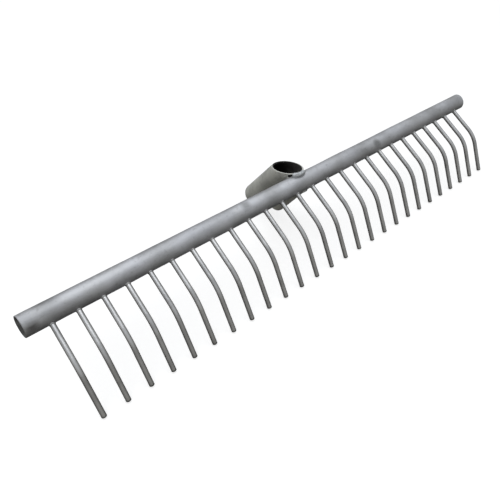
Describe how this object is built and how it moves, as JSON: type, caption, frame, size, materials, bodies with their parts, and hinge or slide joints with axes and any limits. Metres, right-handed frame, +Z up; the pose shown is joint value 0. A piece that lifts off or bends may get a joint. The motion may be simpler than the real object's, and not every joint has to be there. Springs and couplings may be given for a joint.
{
  "type": "rake head",
  "caption": "Wide straight rake head: a round tube crossbar with a row of hooked round tines, and an open handle socket on a short brace tube behind it. No handle.",
  "frame": {"origin": "on the floor, under the middle of the head's bounding box, as it lies on its tine tips and on the rim of its socket", "axes": "+X along the crossbar, +Z up, the tines reach towards -Y and the handle socket towards +Y"},
  "size_m": [0.755, 0.1968, 0.103],
  "materials": {
    "galvanised_bar": "satin, hot-dip zinc",
    "galvanised_socket": "matt, hot-dip zinc",
    "galvanised_rod": "satin, hot-dip zinc",
    "weld_bead": "rough, zinc over weld"
  },
  "bodies": {
    "root": {"crossbar": "galvanised_bar", "handle_socket": "galvanised_socket", "socket_brace": "galvanised_socket", "tine_01": "galvanised_rod", "tine_02": "galvanised_rod", "tine_03": "galvanised_rod", "tine_04": "galvanised_rod", "tine_05": "galvanised_rod", "tine_06": "galvanised_rod", "tine_07": "galvanised_rod", "tine_08": "galvanised_rod", "tine_09": "galvanised_rod", "tine_10": "galvanised_rod", "tine_11": "galvanised_rod", "tine_12": "galvanised_rod", "tine_13": "galvanised_rod", "tine_14": "galvanised_rod", "tine_15": "galvanised_rod", "tine_16": "galvanised_rod", "tine_17": "galvanised_rod", "tine_18": "galvanised_rod", "tine_19": "galvanised_rod", "tine_20": "galvanised_rod", "tine_21": "galvanised_rod", "tine_22": "galvanised_rod", "tine_23": "galvanised_rod", "tine_24": "galvanised_rod", "tine_25": "galvanised_rod", "tine_26": "galvanised_rod", "tine_welds": "weld_bead", "mouth_weld": "weld_bead", "brace_weld": "weld_bead", "seam_welds": "weld_bead"}
  },
  "joints": []
}
